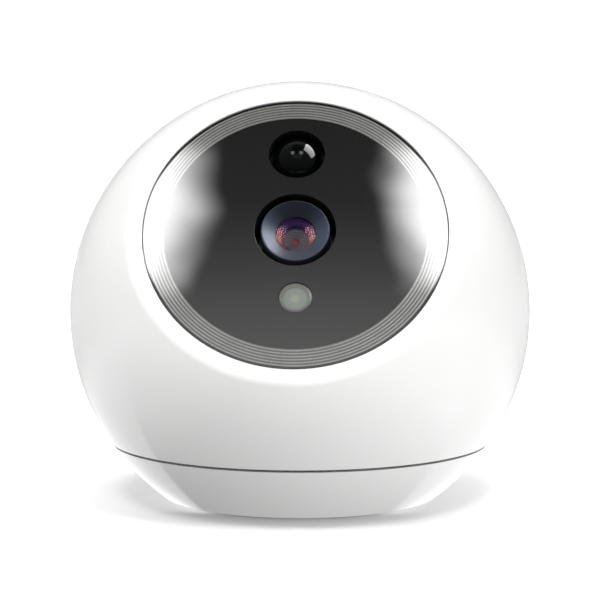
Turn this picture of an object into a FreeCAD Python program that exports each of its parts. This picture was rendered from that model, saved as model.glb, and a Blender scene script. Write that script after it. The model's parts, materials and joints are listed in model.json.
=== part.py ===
"""A ball-shaped baby monitor camera that turns on its base.

Millimetres, +Z up. The origin is on the pan axis, on the surface the camera stands on, and the
lens looks towards -Y and upwards. The ball is cut by one level seam: below it is the base, which
stands still, and above it the globe, which pans. A motor in the globe drives a pinion round a
gear that is fixed to the base. The face parts are built on their own axis and then tilted.
"""

import FreeCAD
import Part
import math
import os

V = FreeCAD.Vector

# The ball and its seam
ball_radius = 48.5
ball_height = 39.7              # centre of the ball above the table
shell_wall = 2.4
seam_height = 12.3
seam_gap = 0.5
split_y = 5.0                   # plane between the front and rear shells
tongue_length = 1.8

# The base
foot_height = 0.8
plate_top = 2.8
plate_radius = 26.45
bowl_wall = 2.2
lip_inner = 35.4
lip_outer = 36.6
lip_top = 13.6
foot_inner = 21.8
foot_outer = 25.6
base_screw_circle = 18.5
base_screw_angles = (25, 155, 225, 315)

# The pan drive
gear_module = 0.75
fixed_teeth = 48
pinion_teeth = 16
pressure_angle = math.radians(20)
tooth_backlash = 0.06           # taken off each tooth's thickness
gear_bottom = 7.6
gear_top = 11.0
post_radius = 8.0
shoulder_radius = 9.2
post_top = 19.5
washer_bottom = 11.8
washer_top = 12.5
motor_radius = 12.0
motor_height = 19.0
motor_offset = 5.0              # output shaft off the motor's own centre
motor_ear_reach = 15.5
motor_shaft_radius = 2.5
stop_half_angle = 4.5

# The globe's deck
deck_bottom = 12.6
deck_step = 14.2
deck_top = 15.8
deck_radius = 35.0
deck_flange_radius = 38.0
hub_boss_radius = 12.2
hub_boss_top = 16.4
shell_screw_circle = 32.0
front_boss_angles = (220, 320)
rear_boss_angles = (30, 150)
boss_top = 24.0

# The face, measured along its own axis from the centre of the ball
face_tilt = 34.4                # degrees above level
land_plane = 34.5
land_blend = 2.0
opening_radius = 30.87
window_radius = 30.75
window_thickness = 1.8
window_edge = 34.2
window_curve = 393.0            # radius of the window's slight dome
seat_plane = 32.4
seat_inner = 28.5
collar_bottom = 30.5
inlay_count = 6
inlay_outer = 30.0
inlay_pitch = 0.64
inlay_width = 0.3
inlay_depth = 0.2
inlay_proud = 0.03

# Things that look out through the face, as (across, up) on it
lens_at = (0.0, 0.0)
motion_at = (0.0, 17.8)
light_at = (0.3, -15.3)
lens_hole = 8.2
motion_hole = 5.75
light_hole = 3.35
post_spacing = 12.0             # the four posts stand at plus and minus this
infrared_circle = 20.0
infrared_angles = (-25, 0, 25, 155, 180, 205)
carrier_screw_circle = 30.8
carrier_screw_angles = (45, 135, 225, 315)

# The lens module
hood_radius = 6.9
hood_rim = 35.0
hood_bottom = 32.6
glass_edge = 33.4
glass_radius = 4.05
glass_rise = 0.34
barrel_head_bottom = 28.0
thread_radius = 6.0
barrel_bottom = 19.5

# Circuit boards, as the (low, high) faces along the face's axis
infrared_board_at = (26.4, 27.6)
sensor_board_at = (11.3, 12.5)
main_board_at = (1.0, 2.6)
sensor_board_half = 16.0
main_board_half = (30.0, 21.0)
filter_travel = 6.0

# The speaker, on an axis that points back and up from the centre of the ball
speaker_tilt = 20.0
speaker_radius = 14.0
speaker_back = 38.5
speaker_front = 42.0
grille_pitch = 3.1
grille_hole = 0.8

centre = V(0, 0, ball_height)
face_frame = FreeCAD.Placement(centre, FreeCAD.Rotation(V(1, 0, 0), 90 - face_tilt))
speaker_frame = FreeCAD.Placement(centre, FreeCAD.Rotation(V(1, 0, 0), speaker_tilt - 90))


# ---- helpers -------------------------------------------------------------------------------

def on_face(shape):
    """Moves a shape built on the Z axis onto the face's axis."""
    shape.Placement = face_frame.multiply(shape.Placement)
    return shape


def on_speaker(shape):
    """Moves a shape built on the Z axis onto the speaker's axis."""
    shape.Placement = speaker_frame.multiply(shape.Placement)
    return shape


def disc(radius, low, high, at=(0.0, 0.0)):
    return Part.makeCylinder(radius, high - low, V(at[0], at[1], low))


def ring(outer, inner, low, high, at=(0.0, 0.0)):
    return disc(outer, low, high, at).cut(disc(inner, low, high, at))


def block(x, y, z):
    """A box from three (low, high) pairs."""
    return Part.makeBox(x[1] - x[0], y[1] - y[0], z[1] - z[0], V(x[0], y[0], z[0]))


def join(shapes):
    shapes = list(shapes)
    return shapes[0].multiFuse(shapes[1:]).removeSplitter() if len(shapes) > 1 else shapes[0]


def turned(start, *path):
    """Revolves a closed outline about Z. A step of two numbers is a line to (radius, height);
    a step of two points is an arc through the first of them to the second."""
    here = V(start[0], 0, start[1])
    first = here
    edges = []
    for step in path:
        if isinstance(step[0], tuple):
            middle = V(step[0][0], 0, step[0][1])
            there = V(step[1][0], 0, step[1][1])
            edges.append(Part.Arc(here, middle, there).toShape())
        else:
            there = V(step[0], 0, step[1])
            edges.append(Part.LineSegment(here, there).toShape())
        here = there
    if here.distanceToPoint(first) > 1e-6:
        edges.append(Part.LineSegment(here, first).toShape())
    return Part.Face(Part.Wire(edges)).revolve(V(0, 0, 0), V(0, 0, 1), 360)


def crown(radius, edge, apex):
    """The point halfway out on an arc that is centred on the axis, crosses it at the apex's
    height, and has the edge's height at the radius."""
    rise = apex - edge
    curve = (radius ** 2 + rise ** 2) / (2 * rise)
    half = radius / 2
    return (half, apex - curve + math.copysign(math.sqrt(curve ** 2 - half ** 2), curve))


def on_arc(radius, angle, height=0.0):
    """A point (radius, height) on a circle about the axis, the angle measured up from level."""
    a = math.radians(angle)
    return (radius * math.cos(a), height + radius * math.sin(a))


def polar(radius, angle):
    a = math.radians(angle)
    return (radius * math.cos(a), radius * math.sin(a))


def corners(half):
    return [(x, y) for x in (-half, half) for y in (-half, half)]


def screw(head_radius, head_height, shank_radius, seat, tip, at=(0.0, 0.0)):
    """A pan-head cross-slot screw that points up, with its head under the seat."""
    bottom = seat - head_height
    head = disc(head_radius, bottom, seat, at)
    shank = disc(shank_radius, seat, tip - shank_radius, at)
    point = Part.makeCone(shank_radius, 0.3 * shank_radius, shank_radius, V(at[0], at[1], tip - shank_radius))
    whole = join([head, shank, point])
    half_slot = head_radius * 0.62
    width = head_radius * 0.13
    depth = head_height * 0.6
    for x, y in ((half_slot, width), (width, half_slot)):
        whole = whole.cut(block((at[0] - x, at[0] + x), (at[1] - y, at[1] + y), (bottom, bottom + depth)))
    return whole


def lead(points, radius, bend):
    """A round lead along straight runs joined by tangent arcs."""
    points = [V(*p) for p in points]
    edges = []
    here = points[0]
    for i in range(1, len(points) - 1):
        into = (points[i] - points[i - 1]).normalize()
        away = (points[i + 1] - points[i]).normalize()
        half_turn = into.getAngle(away) / 2
        cut_back = bend * math.tan(half_turn)
        begin = points[i] - into * cut_back
        end = points[i] + away * cut_back
        inward = (away - into).normalize()
        middle = points[i] + inward * (bend / math.cos(half_turn) - bend)
        edges.append(Part.LineSegment(here, begin).toShape())
        edges.append(Part.Arc(begin, middle, end).toShape())
        here = end
    edges.append(Part.LineSegment(here, points[-1]).toShape())
    path = Part.Wire(edges)
    section = Part.Wire([Part.makeCircle(radius, points[0], points[1] - points[0])])
    return path.makePipeShell([section], True, True)


def gear(teeth, low, high, phase=0.0):
    """A spur gear with involute flanks. A tooth is centred on the phase angle, in degrees."""
    pitch = gear_module * teeth / 2
    base = pitch * math.cos(pressure_angle)
    tip = pitch + 0.85 * gear_module
    root = pitch - 1.25 * gear_module

    def roll(radius):
        """Involute angle at a radius."""
        t = math.sqrt(max(radius * radius / (base * base) - 1, 0))
        return t - math.atan(t)

    half_tooth = math.pi / (2 * teeth) - tooth_backlash / (2 * pitch)
    start = max(root, base)
    steps = 5
    radii = [start + (tip - start) * i / steps for i in range(steps + 1)]
    edges = []
    last = None
    first = None
    for k in range(teeth):
        middle = math.radians(phase) + 2 * math.pi * k / teeth
        spread = [half_tooth + roll(pitch) - roll(r) for r in radii]
        rising = [V(r * math.cos(middle - s), r * math.sin(middle - s), low) for r, s in zip(radii, spread)]
        falling = [V(r * math.cos(middle + s), r * math.sin(middle + s), low) for r, s in zip(radii, spread)]
        falling.reverse()
        foot = [V(root * math.cos(middle + a), root * math.sin(middle + a), low) for a in (-spread[0], spread[0])]
        if last is None:
            first = foot[0]
        else:
            edges.append(Part.LineSegment(last, foot[0]).toShape())
        if start > root:
            edges.append(Part.LineSegment(foot[0], rising[0]).toShape())
        for flank in (rising, falling):
            curve = Part.BSplineCurve()
            curve.interpolate(flank)
            edges.append(curve.toShape())
            if flank is rising:
                edges.append(Part.LineSegment(rising[-1], falling[0]).toShape())
        if start > root:
            edges.append(Part.LineSegment(falling[-1], foot[1]).toShape())
        last = foot[1]
    edges.append(Part.LineSegment(last, first).toShape())
    return Part.Face(Part.Wire(edges)).extrude(V(0, 0, high - low))


def window_surface(radius, below=0.0):
    """Height of the window's domed front along the face's axis, at a radius from its middle."""
    apex = window_edge + window_curve - math.sqrt(window_curve ** 2 - window_radius ** 2)
    return apex - below - (window_curve - math.sqrt(window_curve ** 2 - radius ** 2))


def ball_shell(outer, inner):
    return Part.makeSphere(outer, centre).cut(Part.makeSphere(inner, centre))


def half_space(low_y, high_y, low_z, high_z):
    """A large box between two depths and two heights."""
    reach = 2 * ball_radius
    return block((-reach, reach), (low_y, high_y), (low_z, high_z))


far = 2 * ball_radius
globe_bottom = seam_height + seam_gap / 2
base_top = seam_height - seam_gap / 2
inner_radius = ball_radius - shell_wall
pinion_at = (0.0, gear_module * (fixed_teeth + pinion_teeth) / 2)
motor_at = (pinion_at[0] - motor_offset, pinion_at[1])


def wall_boss(angle, circle, low, high, radius, hole, wall_radius):
    """A screw boss that stands on a circle and is tied to the ball's wall by a web."""
    x, y = polar(circle, angle)
    web = block((0, far), (-radius / 2, radius / 2), (low, high))
    web.rotate(V(0, 0, 0), V(0, 0, 1), angle)
    web = web.cut(disc(circle, low, high))
    solid = join([disc(radius, low, high, (x, y)), web])
    solid = solid.common(Part.makeSphere(wall_radius, centre))
    return solid.cut(disc(hole, low, high - 1.2, (x, y)))


# ---- the base, which stands still -----------------------------------------------------------

def base_bowl():
    """The white lower bowl: a zone of the ball with a lip that closes the seam from inside."""
    inner = ball_radius - bowl_wall
    zone = ball_shell(ball_radius, inner).common(half_space(-far, far, foot_height, base_top))
    rim = ring(29.4, plate_radius + 0.15, foot_height, plate_top)
    rim = rim.common(Part.makeSphere(ball_radius, centre))
    lip = ring(lip_outer, lip_inner, base_top - 1.6, lip_top)
    shelf = ring(38.4, lip_inner, base_top - 1.6, base_top - 0.4)
    shelf = shelf.common(Part.makeSphere(ball_radius - 0.5, centre))
    x_reach = 34.0
    stop = block((0, x_reach), (-2.6, 2.6), (base_top - 2.4, base_top))
    stop = stop.cut(disc(deck_radius - 2.8, 0, far))
    outside = block((deck_radius + 1.0, far), (-far, far), (0, far))
    stop = join([stop, block((x_reach - 0.5, lip_inner + 0.6), (-2.6, 2.6), (base_top - 1.6, base_top))])
    stop = stop.cut(outside)
    stop.rotate(V(0, 0, 0), V(0, 0, 1), 90)
    bosses = [wall_boss(a, base_screw_circle, plate_top, 6.0, 2.6, 1.05, inner + 0.4) for a in base_screw_angles]
    niche_wall = block((-7.0, 7.0), (inlet_face - 1.2, far), (plate_top, 9.6))
    niche_wall = niche_wall.common(Part.makeSphere(ball_radius - 0.5, centre))
    bowl = join([zone, rim, lip, shelf, stop, niche_wall] + bosses)
    bowl = bowl.cut(disc(plate_radius + 0.15, foot_height, plate_top))
    bowl = bowl.cut(block((-5.8, 5.8), (inlet_face, far), (0, 8.4)))
    bowl = bowl.cut(block((-3.95, 3.95), (20, far), (3.1, 6.1)))
    x, z = button_at
    return bowl.cut(Part.makeCylinder(button_radius + 0.08, far, V(x, 20, z), V(0, 1, 0)))


def base_plate():
    """The bottom cover, with a groove for the foot and a raised seat for the tripod insert."""
    plate = disc(plate_radius, foot_height, plate_top)
    seat = disc(5.0, plate_top, 7.2)
    pads = [disc(1.9, plate_top, power_board_at[0], at) for at in power_pin_at]
    pins = [disc(1.05, power_board_at[0], power_board_at[1] + 0.4, at) for at in power_pin_at]
    plate = join([plate, seat] + pads + pins)
    plate = plate.cut(ring(foot_outer + 0.05, foot_inner - 0.05, foot_height, foot_height + 0.8))
    plate = plate.cut(disc(insert_radius, foot_height, 6.4))
    for angle in base_screw_angles:
        x, y = polar(base_screw_circle, angle)
        plate = plate.cut(disc(2.5, foot_height, 2.1, (x, y)))
        plate = plate.cut(disc(1.35, 2.1, plate_top, (x, y)))
    for angle in hub_screw_angles:
        x, y = polar(hub_screw_circle, angle)
        plate = plate.cut(disc(2.1, foot_height, 1.9, (x, y)))
        plate = plate.cut(disc(1.1, 1.9, plate_top, (x, y)))
    return plate


def foot_ring():
    """The rubber ring that the camera stands on."""
    low_edge = 0.3
    return turned((foot_inner, foot_height + 0.8), (foot_outer, foot_height + 0.8),
                  (foot_outer, low_edge), (foot_outer - low_edge, 0),
                  (foot_inner + low_edge, 0), (foot_inner, low_edge))


def base_screws():
    return Part.makeCompound([
        screw(2.3, 1.15, 1.0, 2.1, 4.7, polar(base_screw_circle, a)) for a in base_screw_angles])


def hub_screws():
    return Part.makeCompound([
        screw(1.9, 1.0, 0.98, 1.9, 4.5, polar(hub_screw_circle, a)) for a in hub_screw_angles])


def tripod_insert():
    """A flanged brass insert, bored for a quarter-inch camera screw."""
    return ring(insert_radius, insert_bore, foot_height, 6.4)


def hub_post():
    """The hollow post on which the globe turns. The lead from the power board runs up inside it."""
    post = turned((wide_bore, plate_top), (12.0, plate_top), (12.0, 4.6), (shoulder_radius, 4.6),
                  (shoulder_radius, gear_bottom), (post_radius, gear_bottom), (post_radius, clip_bottom), (clip_groove, clip_bottom), (clip_groove, clip_top),
                  (post_radius, clip_top), (post_radius, post_top - 0.5), (post_radius - 0.5, post_top),
                  (narrow_bore, post_top), (narrow_bore, washer_top), (wide_bore, 10.0))
    post = post.cut(block((-1.4, 1.4), (wide_bore - 1, 13), (plate_top, 6.3)))
    for side in (-1, 1):
        post = post.cut(key_block(side, 0.05))
    for angle in hub_screw_angles:
        post = post.cut(disc(1.0, plate_top, 4.6, polar(hub_screw_circle, angle)))
    return post


def key_block(side, clearance):
    """A key that stops the fixed gear turning on the post."""
    inner = post_radius - 0.7
    x = sorted((side * (inner - clearance), side * (post_radius + 0.3)))
    return block(x, (-1 - clearance, 1 + clearance), (gear_bottom - clearance, washer_bottom + clearance))


def pan_gear():
    """The gear that is fixed to the base. The globe's pinion walks round it."""
    wheel = gear(fixed_teeth, gear_bottom, gear_top)
    boss = disc(11.5, gear_top, washer_bottom)
    wheel = join([wheel, boss]).cut(disc(post_radius + 0.02, gear_bottom, washer_bottom))
    for angle in range(0, 360, 60):
        wheel = wheel.cut(disc(1.6, gear_bottom, gear_top, polar(14.3, angle + 30)))
    return join([wheel, key_block(-1, 0), key_block(1, 0)])


def thrust_washer():
    return ring(11.5, post_radius + 0.15, washer_bottom, washer_top)


def hub_clip():
    """A spring ring with two ears, snapped into the post's groove above the bush."""
    clip = ring(10.0, clip_groove + 0.05, clip_bottom + 0.05, clip_top - 0.05)
    clip = clip.cut(block((-2.2, 2.2), (0, far), (0, far)))
    for side in (-1, 1):
        ear_at = (side * 3.4, 9.2)
        ear = disc(1.5, clip_bottom + 0.05, clip_top - 0.05, ear_at)
        clip = join([clip, ear]).cut(disc(0.6, clip_bottom, clip_top, ear_at))
        clip = clip.cut(disc(post_radius + 0.02, clip_bottom - 1, clip_top + 1).cut(disc(9.0, 0, far)))
    return clip


def power_board():
    board = block((-15, 15), (14, 29), power_board_at).common(disc(27.8, 0, far))
    board = board.cut(block((-3.9, 3.9), (inlet_face - 5.8, 30), power_board_at))
    board = board.cut(block((8.5, 16), (switch_front + 0.2, 30), power_board_at))
    for at in power_pin_at:
        board = board.cut(disc(1.1, *power_board_at, at))
    return board


def usb_socket():
    """The metal shell of the micro-USB power inlet, with its tongue."""
    back, front = inlet_face - 5.7, inlet_face - 0.15
    low = power_board_at[0] + 0.1
    high = low + 2.6
    outline = [(-3.75, high), (3.75, high), (3.75, low + 1.1), (2.75, low), (-2.75, low), (-3.75, low + 1.1)]

    def prism(grow, start):
        points = [V(x + grow * (1 if x < 0 else -1), start, min(max(z, low + grow), high - grow)) for x, z in outline]
        return Part.Face(Part.makePolygon(points + points[:1])).extrude(V(0, front - start, 0))

    shell = prism(0, back).cut(prism(0.3, back + 1.2))
    return join([shell, block((-1.9, 1.9), (back + 0.5, front - 0.6), (high - 1.15, high - 0.6))])


def power_parts():
    """What stands on the power board: a lead connector, a coil, and capacitors."""
    top = power_board_at[1]
    connector = block((-3.5, 3.5), (14.6, 17.6), (top, top + 2.0))
    coil = join([block((-12.5, -7.5), (17.5, 22.5), (top, top + 0.6)), disc(2.3, top + 0.6, top + 1.8, (-10, 20))])
    capacitors = [block((x, x + 1.6), (y, y + 0.8), (top, top + 0.8)) for x in (-4, -1, 2) for y in (19, 21, 23)]
    return Part.makeCompound([connector, coil] + capacitors)


def reset_switch():
    """The small push switch behind the reset button. The button's plunger runs in its bore."""
    x, z = button_at
    top = power_board_at[1]
    case = block((x - 1.7, x + 1.7), (switch_front - 2.6, switch_front), (top, top + 2.0))
    return case.cut(Part.makeCylinder(0.76, 1.9, V(x, switch_front - 1.9, z), V(0, 1, 0)))


def power_lead():
    """The lead from the power board to the axis of the globe, inside the post."""
    level = power_board_at[1] + 1.0
    return lead([(0, 14.6, level), (0, 5.87, level), (0, 5.87, 9.0), (0, 0, 13.6), (0, 0, lead_joint)], 0.75, 1.5)


def reset_button():
    """The reset button: a cap flush with the bowl, a collar behind the wall, and its plunger."""
    x, z = button_at
    along = V(0, 1, 0)
    cap = Part.makeCylinder(button_radius, far, V(x, button_back, z), along)
    cap = cap.common(Part.makeSphere(ball_radius - 0.15, centre))
    collar = Part.makeCylinder(button_radius + 0.4, 0.6, V(x, button_back, z), along)
    plunger = Part.makeCylinder(0.7, button_back - switch_front + 0.8, V(x, switch_front - 0.8, z), along)
    return join([cap, collar, plunger])


# ---- the pan drive --------------------------------------------------------------------------

def pan_pinion():
    pinion = gear(pinion_teeth, gear_bottom - 0.2, gear_top + 0.2, 11.25)
    pinion = pinion.cut(disc(motor_shaft_radius, 0, far))
    pinion.translate(V(pinion_at[0], pinion_at[1], 0))
    return pinion


def motor_shaft():
    shaft = disc(motor_shaft_radius, gear_bottom - 0.1, deck_top + 4.0, pinion_at)
    flat = block((1.9, 5), (-5, 5), (0, gear_bottom - 0.1))
    return shaft.cut(flat)


def pan_motor():
    """A geared can motor, standing on the deck with its shaft through it."""
    can = disc(motor_radius, deck_top, deck_top + motor_height, motor_at)
    rim = can.Edges
    rim = [e for e in rim if abs(e.CenterOfMass.z - deck_top - motor_height) < 0.01]
    can = can.makeFillet(1.0, rim)
    ears = [disc(3.5, deck_top, deck_top + 0.9, (motor_at[0] + s * motor_ear_reach, motor_at[1])) for s in (-1, 1)]
    bridge = block((motor_at[0] - motor_ear_reach, motor_at[0] + motor_ear_reach),
                   (motor_at[1] - 3.5, motor_at[1] + 3.5), (deck_top, deck_top + 0.9))
    boss = disc(4.4, deck_bottom + 1.4, deck_top, pinion_at)
    motor = join([can, bridge, boss] + ears)
    motor = motor.cut(disc(motor_shaft_radius + 0.05, 0, deck_top + 4.2, pinion_at))
    for side in (-1, 1):
        motor = motor.cut(disc(1.3, 0, far, (motor_at[0] + side * motor_ear_reach, motor_at[1])))
    return motor


def motor_cap():
    """The plastic cap over the motor's coil terminals."""
    x, y = motor_at
    cap = block((x - 7, x + 7), (y - motor_radius - 2.2, y - 6), (deck_top + 5, deck_top + 16))
    return cap.cut(disc(motor_radius + 0.02, 0, far, motor_at))


def motor_screws():
    """Two screws that point down through the motor's ears into the deck."""
    made = []
    for side in (-1, 1):
        one = screw(2.4, 1.4, 1.15, 0, 2.8)
        one.rotate(V(0, 0, 0), V(1, 0, 0), 180)
        one.translate(V(motor_at[0] + side * motor_ear_reach, motor_at[1], deck_top + 0.9))
        made.append(one)
    return Part.makeCompound(made)


def globe_deck():
    """The floor of the globe. It carries the motor and the shells, and turns on the post."""
    deck = join([disc(deck_radius, deck_bottom, deck_step), disc(deck_flange_radius, deck_step, deck_top),
                 disc(hub_boss_radius, deck_step, hub_boss_top)])
    stop = ring(deck_radius - 0.6, deck_radius - 2.9, deck_bottom - 1.6, deck_bottom)
    wedge = block((0, far), (-2.5, 2.5), (0, far))
    wedge.rotate(V(0, 0, 0), V(0, 0, 1), 270)
    deck = join([deck, stop.common(wedge)])
    for angle in range(0, 360, 45):
        rib = block((13, 29), (-0.8, 0.8), (deck_top, deck_top + 1.5))
        rib.rotate(V(0, 0, 0), V(0, 0, 1), angle)
        rib = rib.cut(disc(motor_radius + 0.5, 0, far, motor_at))
        rib = rib.cut(block((motor_at[0] - 20, motor_at[0] + 20), (motor_at[1] - 4, motor_at[1] + 4), (0, far)))
        deck = deck.fuse(rib)
    deck = deck.removeSplitter()
    deck = deck.cut(disc(bush_outer, 0, far))
    deck = deck.cut(disc(4.6, 0, far, pinion_at))
    for side in (-1, 1):
        deck = deck.cut(disc(1.2, deck_bottom + 0.6, far, (motor_at[0] + side * motor_ear_reach, motor_at[1])))
    for angle in front_boss_angles + rear_boss_angles:
        at = polar(shell_screw_circle, angle)
        deck = deck.cut(disc(2.4, 0, deck_bottom + 1.5, at))
        deck = deck.cut(disc(1.35, 0, far, at))
    return deck


def pan_bush():
    """A flanged low-friction bush between the deck and the post."""
    inner = post_radius + 0.05
    return turned((inner, deck_bottom), (bush_outer, deck_bottom), (bush_outer, hub_boss_top),
                  (11.0, hub_boss_top), (11.0, hub_boss_top + 0.9), (inner, hub_boss_top + 0.9))


# ---- the globe's shells ---------------------------------------------------------------------

def front_shell():
    """The white front of the globe, with the flat land round the face and the window's seat."""
    blend_height = land_plane - land_blend
    blend_radius = math.sqrt((ball_radius - land_blend) ** 2 - blend_height ** 2)
    lean = math.degrees(math.atan2(blend_height, blend_radius))
    blend_start = on_arc(ball_radius, lean)
    turn = math.radians((lean + 90) / 2)
    blend_middle = (blend_radius + land_blend * math.cos(turn), blend_height + land_blend * math.sin(turn))
    collar_outer = math.sqrt(inner_radius ** 2 - collar_bottom ** 2)
    inner_lean = math.degrees(math.atan2(collar_bottom, collar_outer))
    skin = turned(
        (0, -inner_radius), (0, -ball_radius),
        (on_arc(ball_radius, (lean - 90) / 2), blend_start),
        (blend_middle, (blend_radius, land_plane)),
        (opening_radius + 0.25, land_plane), (opening_radius, land_plane - 0.25),
        (opening_radius, seat_plane), (seat_inner, seat_plane),
        (seat_inner, collar_bottom), (collar_outer, collar_bottom),
        (on_arc(inner_radius, (inner_lean - 90) / 2), (0, -inner_radius)))
    for angle in carrier_screw_angles:
        skin = skin.cut(disc(1.0, collar_bottom, collar_bottom + 1.5, polar(carrier_screw_circle, angle)))
    skin = on_face(skin)
    front = skin.common(half_space(-far, split_y, globe_bottom, far))
    tongue = ball_shell(inner_radius + 1.1, inner_radius)
    tongue = tongue.common(half_space(split_y - 0.5, split_y + tongue_length, deck_top + 0.4, far))
    bosses = [wall_boss(a, shell_screw_circle, deck_top, boss_top, 3.0, 1.0, inner_radius + 0.5)
              for a in front_boss_angles]
    return join([front, tongue] + bosses)


def rear_shell():
    """The white back of the globe, with the speaker grille and the ring that holds the speaker."""
    rear = ball_shell(ball_radius, inner_radius).common(half_space(split_y, far, globe_bottom, far))
    rebate = ball_shell(inner_radius + 1.2, inner_radius - 1)
    rear = rear.cut(rebate.common(half_space(0, split_y + tongue_length + 0.15, deck_top, far)))
    holder = on_speaker(ring(speaker_radius + 1.4, speaker_radius + 0.15, speaker_back - 1, ball_radius))
    holder = holder.common(Part.makeSphere(inner_radius + 0.5, centre))
    bosses = [wall_boss(a, shell_screw_circle, deck_top, boss_top, 3.0, 1.0, inner_radius + 0.5)
              for a in rear_boss_angles]
    cup = on_speaker(ring(4.2, 3.1, 37.0, ball_radius, microphone_at))
    cup = cup.common(Part.makeSphere(inner_radius + 0.5, centre)).cut(on_speaker(disc(speaker_radius + 1, 30, 50)))
    rear = join([rear, holder, cup] + bosses)
    holes = []
    for turn in range(4):
        count = max(1, 6 * turn)
        for k in range(count):
            holes.append(disc(grille_hole, speaker_front, ball_radius + 1, polar(grille_pitch * turn, 360 * k / count)))
    holes.append(disc(0.6, 40, ball_radius + 1, microphone_at))
    return rear.cut(on_speaker(Part.makeCompound(holes)))


def shell_screws():
    return Part.makeCompound([
        screw(2.2, 1.2, 0.98, deck_bottom + 1.5, 21.5, polar(shell_screw_circle, a))
        for a in front_boss_angles + rear_boss_angles])


# ---- the face -------------------------------------------------------------------------------

def window():
    """The smoked front cover: a slightly domed disc with three holes and fine grooves."""
    apex = window_surface(0)
    rim = window_radius - 0.4
    under = window_surface(seat_inner, window_thickness)
    disc_shape = turned(
        (0, apex), (crown(rim, window_surface(rim), apex), (rim, window_surface(rim))),
        (window_radius, window_edge - 0.4), (window_radius, seat_plane), (seat_inner - 0.1, seat_plane),
        (seat_inner - 0.1, under),
        (crown(seat_inner - 0.1, under, apex - window_thickness), (0, apex - window_thickness)))
    for radius, at in ((lens_hole, lens_at), (motion_hole, motion_at), (light_hole, light_at)):
        disc_shape = disc_shape.cut(disc(radius, 30, 40, at))
    for k in range(inlay_count):
        disc_shape = disc_shape.cut(inlay(k, 0.01, 0.02))
    return on_face(disc_shape)


def inlay(k, side=0.0, under=0.0):
    """One of the fine silver rings let into the window's border."""
    middle = inlay_outer - k * inlay_pitch
    surface = window_surface(middle)
    half = inlay_width / 2 + side
    return ring(middle + half, middle - half, surface - inlay_depth - under, surface + inlay_proud + under)


def window_inlays():
    return on_face(Part.makeCompound([inlay(k) for k in range(inlay_count)]))


def face_carrier():
    """The black moulding behind the window. It holds everything that looks out of the face."""
    low, high = 29.6, 31.2
    carrier = join([disc(seat_inner - 0.2, low, high), ring(33.0, 26.0, 28.9, collar_bottom)])
    tubes = [(9.8, 33.3, lens_at), (7.0, 32.5, motion_at), (4.4, 32.9, light_at)]
    carrier = join([carrier] + [disc(r, low, top, at) for r, top, at in tubes])
    posts = [disc(2.2, sensor_board_at[1], low + 0.5, at) for at in corners(post_spacing)]
    board_posts = [disc(2.0, infrared_board_at[1], low + 0.5, at) for at in infrared_screw_at]
    carrier = join([carrier] + posts + board_posts)
    carrier = carrier.cut(disc(8.6, 25, 40, lens_at))
    carrier = carrier.cut(disc(motion_hole + 0.2, high, 40, motion_at)).cut(disc(5.1, 25, 40, motion_at))
    carrier = carrier.cut(disc(light_hole + 0.15, 25, 40, light_at))
    for angle in infrared_angles:
        carrier = carrier.cut(disc(2.7, 25, 40, polar(infrared_circle, angle)))
    for at in corners(post_spacing):
        carrier = carrier.cut(disc(1.0, sensor_board_at[1], 18.5, at))
    for at in infrared_screw_at:
        carrier = carrier.cut(disc(1.0, infrared_board_at[1], 30.4, at))
    for angle in carrier_screw_angles:
        carrier = carrier.cut(disc(1.1, 28, 31, polar(carrier_screw_circle, angle)))
    return on_face(carrier)


def small_screws():
    """The M2 screws of the face: carrier to shell, infrared board to carrier, main board to standoffs."""
    made = [screw(1.8, 1.1, 0.97, 28.9, 31.9, polar(carrier_screw_circle, a)) for a in carrier_screw_angles]
    made += [screw(1.8, 1.1, 0.97, infrared_board_at[0], 30.2, at) for at in infrared_screw_at]
    made += [screw(1.8, 1.1, 0.97, main_board_at[0], 6.4, at) for at in corners(post_spacing)]
    return on_face(Part.makeCompound(made))


def motion_sensor_lens():
    """The black dome of the motion sensor, with a flange behind the carrier."""
    shoulder = 33.0
    outer = 4.95
    wall = 0.6
    apex = shoulder + 2.6
    inner = outer - wall
    dome = turned((6.6, 28.4), (6.6, 29.5), (outer, 29.5), (outer, shoulder), (crown(outer, shoulder, apex), (0, apex)),
                  (0, apex - wall), (crown(inner, shoulder, apex - wall), (inner, shoulder)), (inner, 28.4))
    dome.translate(V(motion_at[0], motion_at[1], 0))
    return on_face(dome)


def motion_sensor():
    """The sensor's metal can, with its flange, window and three pins."""
    low = infrared_board_at[1]
    can = join([disc(4.3, low, low + 0.4), disc(3.95, low, low + 3.9)])
    can = can.cut(block((-2, 2), (-1.5, 1.5), (low + 3.6, low + 4)))
    pins = [disc(0.22, infrared_board_at[0] - 1.2, low, polar(2.54, a)) for a in (45, 135, 270)]
    can = join([can] + pins)
    can.translate(V(motion_at[0], motion_at[1], 0))
    return on_face(can)


def status_light_lens():
    """The milky window over the status light, hollow behind so that the light fits into it."""
    top = window_surface(light_at[1])
    outer = light_hole - 0.05
    rim = outer - 0.25
    cap = turned((0, top + 0.05), (crown(rim, top - 0.12, top + 0.05), (rim, top - 0.12)), (outer, top - 0.35),
                 (outer, 30.2), (2.7, 30.2), (2.7, 32.6), (crown(2.7, 32.6, 34.3), (0, 34.3)))
    cap.translate(V(light_at[0], light_at[1], 0))
    return on_face(cap)


def status_light():
    """A round-topped light with its flange, on the infrared board."""
    low = infrared_board_at[1]
    lamp = turned((0, low), (2.9, low), (2.9, low + 1.0), (2.5, low + 1.0), (2.5, 32.3),
                  (crown(2.5, 32.3, 34.05), (0, 34.05)))
    lamp.translate(V(light_at[0], light_at[1], 0))
    return on_face(lamp)


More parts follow.
